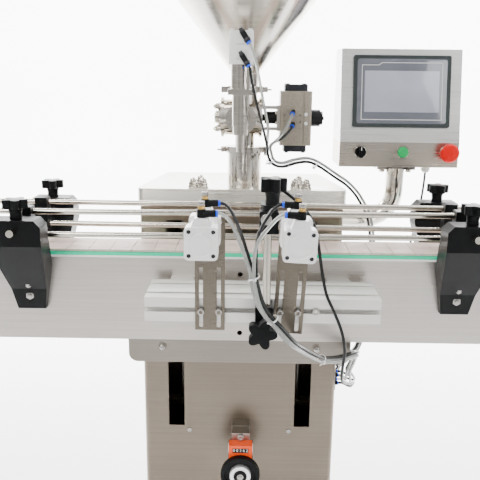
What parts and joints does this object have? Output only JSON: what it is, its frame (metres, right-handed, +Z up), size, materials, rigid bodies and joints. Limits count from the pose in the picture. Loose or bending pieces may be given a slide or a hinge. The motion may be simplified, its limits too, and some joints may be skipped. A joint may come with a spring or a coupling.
{
  "type": "piston liquid filler",
  "caption": "Automatic piston filler: a hopper, rotary valve and dosing nozzle on a steel cabinet, over a height-adjustable slat conveyor with bottle stops and a touch-screen box.",
  "frame": {"origin": "on the floor under the middle of the conveyor's length and of the machine's depth", "axes": "+X along the conveyor towards its drive end, +Y from the operator's side to the cabinet's rear door, +Z up"},
  "size_m": [2.092, 0.675, 1.5997],
  "materials": {
    "cabinet_steel": "brushed stainless sheet",
    "frame_steel": "brushed stainless tube",
    "plate_steel": "brushed stainless plate",
    "polished_steel": "fine ground stainless",
    "bright_steel": "polished rod",
    "beam_aluminium": "natural anodised",
    "dark_aluminium": "dark anodised",
    "tan_aluminium": "hard anodised",
    "cylinder_aluminium": "clear anodised",
    "white_plastic": "matt",
    "black_plastic": "matt glass-filled nylon",
    "black_rubber": "smooth",
    "green_plastic": "matt polyethylene",
    "slat_plastic": "matt acetal",
    "orange_plastic": "semi-gloss",
    "panel_plastic": "fine texture",
    "green_button": "gloss",
    "red_button": "gloss",
    "motor_paint": "semi-gloss paint",
    "clear_tube": "translucent polyurethane",
    "black_tube": "polyurethane"
  },
  "bodies": {
    "machine": {"base_frame": "frame_steel", "cabinet_shell": "cabinet_steel", "top_tray": "cabinet_steel", "product_cylinder": "polished_steel", "drive_cylinder": "cylinder_aluminium", "pipe_work": "polished_steel", "valve_body": "polished_steel", "actuator_body": "tan_aluminium", "hopper": "polished_steel", "nozzle_body": "polished_steel", "nozzle_cylinder": "white_plastic", "air_fittings": "black_plastic", "control_post": "polished_steel", "control_box": "polished_steel", "touch_panel": "panel_plastic", "button_bezels": "bright_steel", "lift_frame": "frame_steel", "position_counter": "orange_plastic", "tube_nozzle_black": "black_tube", "tube_nozzle_clear": "clear_tube", "tube_actuator_black": "black_tube", "tube_actuator_clear": "clear_tube", "cable_control": "black_rubber"},
    "conveyor": {"side_plates": "plate_steel", "wear_strips": "green_plastic", "slat_chain": "slat_plastic", "support_tray": "plate_steel", "stop_beam": "beam_aluminium", "stop_plates": "dark_aluminium", "stop_cylinders": "cylinder_aluminium", "speed_controllers": "black_plastic", "sensor_mount": "black_plastic", "guide_rails": "bright_steel", "rail_brackets": "black_plastic", "drive_motor": "motor_paint", "tube_left_black": "black_tube", "tube_left_clear": "clear_tube", "tube_right_black": "black_tube", "tube_right_clear": "clear_tube", "cable_sensor": "black_rubber"},
    "piston_body": {"piston": "white_plastic"},
    "valve_rotor_body": {"valve_rotor": "dark_aluminium"},
    "hopper_lid_body": {"hopper_lid": "polished_steel"},
    "nozzle_rod_body": {"nozzle_rod": "bright_steel"},
    "selector_knob_body": {"selector_knob": "black_plastic"},
    "start_button_body": {"start_button": "green_button"},
    "stop_button_body": {"stop_button": "red_button"},
    "lift_screw_body": {"lift_screw": "bright_steel"},
    "handwheel_body": {"handwheel": "black_plastic"},
    "rear_door_body": {"rear_door": "cabinet_steel"},
    "stop_rod_left_body": {"stop_rod_left": "bright_steel"},
    "stop_rod_right_body": {"stop_rod_right": "bright_steel"},
    "sensor_knob_upper_body": {"sensor_knob_upper": "black_plastic"},
    "sensor_knob_lower_body": {"sensor_knob_lower": "black_plastic"},
    "rail_knob_near_left_body": {"rail_knob_near_left": "black_plastic"},
    "rail_knob_near_right_body": {"rail_knob_near_right": "black_plastic"},
    "rail_knob_far_left_body": {"rail_knob_far_left": "black_plastic"},
    "rail_knob_far_right_body": {"rail_knob_far_right": "black_plastic"},
    "drive_wheel_body": {"drive_wheel": "plate_steel"},
    "idler_wheel_body": {"idler_wheel": "plate_steel"}
  },
  "joints": [
    {"name": "conveyor_lift", "type": "slide", "parent": "machine", "child": "conveyor", "axis": [0, 0, 1], "range_m": [-0.15, 0.03]},
    {"name": "lift_screw_turn", "type": "hinge", "parent": "machine", "child": "lift_screw_body", "pos_m": [0.004, 0.2323, 0.86], "axis": [0, 0, 1], "range_deg": [-5400, 1080]},
    {"name": "handwheel_turn", "type": "hinge", "parent": "machine", "child": "handwheel_body", "pos_m": [0.004, 0.0083, 0.382], "axis": [0, 1, 0], "range_deg": [-5400, 1080]},
    {"name": "piston_stroke", "type": "slide", "parent": "machine", "child": "piston_body", "axis": [0, 0, 1], "range_m": [-0.08, 0]},
    {"name": "valve_turn", "type": "hinge", "parent": "machine", "child": "valve_rotor_body", "pos_m": [0, 0.1223, 1.084], "axis": [1, 0, 0], "range_deg": [0, 90]},
    {"name": "nozzle_open", "type": "slide", "parent": "machine", "child": "nozzle_rod_body", "axis": [0, 0, 1], "range_m": [0, 0.015]},
    {"name": "hopper_lid_lift", "type": "slide", "parent": "machine", "child": "hopper_lid_body", "axis": [0, 0, 1], "range_m": [0, 0.1]},
    {"name": "selector_turn", "type": "hinge", "parent": "machine", "child": "selector_knob_body", "pos_m": [0.2445, 0.2043, 1.012], "axis": [0, 1, 0], "range_deg": [-45, 45]},
    {"name": "start_press", "type": "slide", "parent": "machine", "child": "start_button_body", "axis": [0, 1, 0], "range_m": [0, 0.003], "stiffness_N_per_m": 400},
    {"name": "stop_press", "type": "slide", "parent": "machine", "child": "stop_button_body", "axis": [0, 1, 0], "range_m": [0, 0.005]},
    {"name": "rear_door_hinge", "type": "hinge", "parent": "machine", "child": "rear_door_body", "pos_m": [-0.172, 0.3243, 0.49], "axis": [0, 0, 1], "range_deg": [0, 110]},
    {"name": "stop_left_extend", "type": "slide", "parent": "conveyor", "child": "stop_rod_left_body", "axis": [0, 1, 0], "range_m": [0, 0.04]},
    {"name": "stop_right_extend", "type": "slide", "parent": "conveyor", "child": "stop_rod_right_body", "axis": [0, 1, 0], "range_m": [0, 0.04]},
    {"name": "drive_wheel_turn", "type": "hinge", "parent": "conveyor", "child": "drive_wheel_body", "pos_m": [0.9525, -0.0677, 0.79065], "axis": [0, 1, 0], "continuous": true},
    {"name": "idler_wheel_turn", "type": "hinge", "parent": "conveyor", "child": "idler_wheel_body", "pos_m": [-0.9525, -0.0677, 0.79065], "axis": [0, 1, 0], "continuous": true},
    {"name": "rail_knob_near_left_turn", "type": "hinge", "parent": "conveyor", "child": "rail_knob_near_left_body", "pos_m": [-0.366, -0.1317, 0.95], "axis": [0, 0, 1], "continuous": true},
    {"name": "rail_knob_near_right_turn", "type": "hinge", "parent": "conveyor", "child": "rail_knob_near_right_body", "pos_m": [0.376, -0.1317, 0.95], "axis": [0, 0, 1], "continuous": true},
    {"name": "rail_knob_far_left_turn", "type": "hinge", "parent": "conveyor", "child": "rail_knob_far_left_body", "pos_m": [-0.366, 0.0789, 0.95], "axis": [0, 0, 1], "continuous": true},
    {"name": "rail_knob_far_right_turn", "type": "hinge", "parent": "conveyor", "child": "rail_knob_far_right_body", "pos_m": [0.376, 0.0789, 0.95], "axis": [0, 0, 1], "continuous": true},
    {"name": "sensor_knob_upper_turn", "type": "hinge", "parent": "conveyor", "child": "sensor_knob_upper_body", "pos_m": [0.048, -0.2147, 0.98], "axis": [0, 0, 1], "continuous": true},
    {"name": "sensor_knob_lower_turn", "type": "hinge", "parent": "conveyor", "child": "sensor_knob_lower_body", "pos_m": [0.035, -0.2297, 0.787], "axis": [0, 1, 0], "continuous": true}
  ],
  "couplings": [
    {"joint": "lift_screw_turn", "follows": "conveyor_lift", "rad_per_m": 628.32},
    {"joint": "handwheel_turn", "follows": "conveyor_lift", "rad_per_m": 628.32},
    {"joint": "idler_wheel_turn", "follows": "drive_wheel_turn", "ratio": 1}
  ]
}
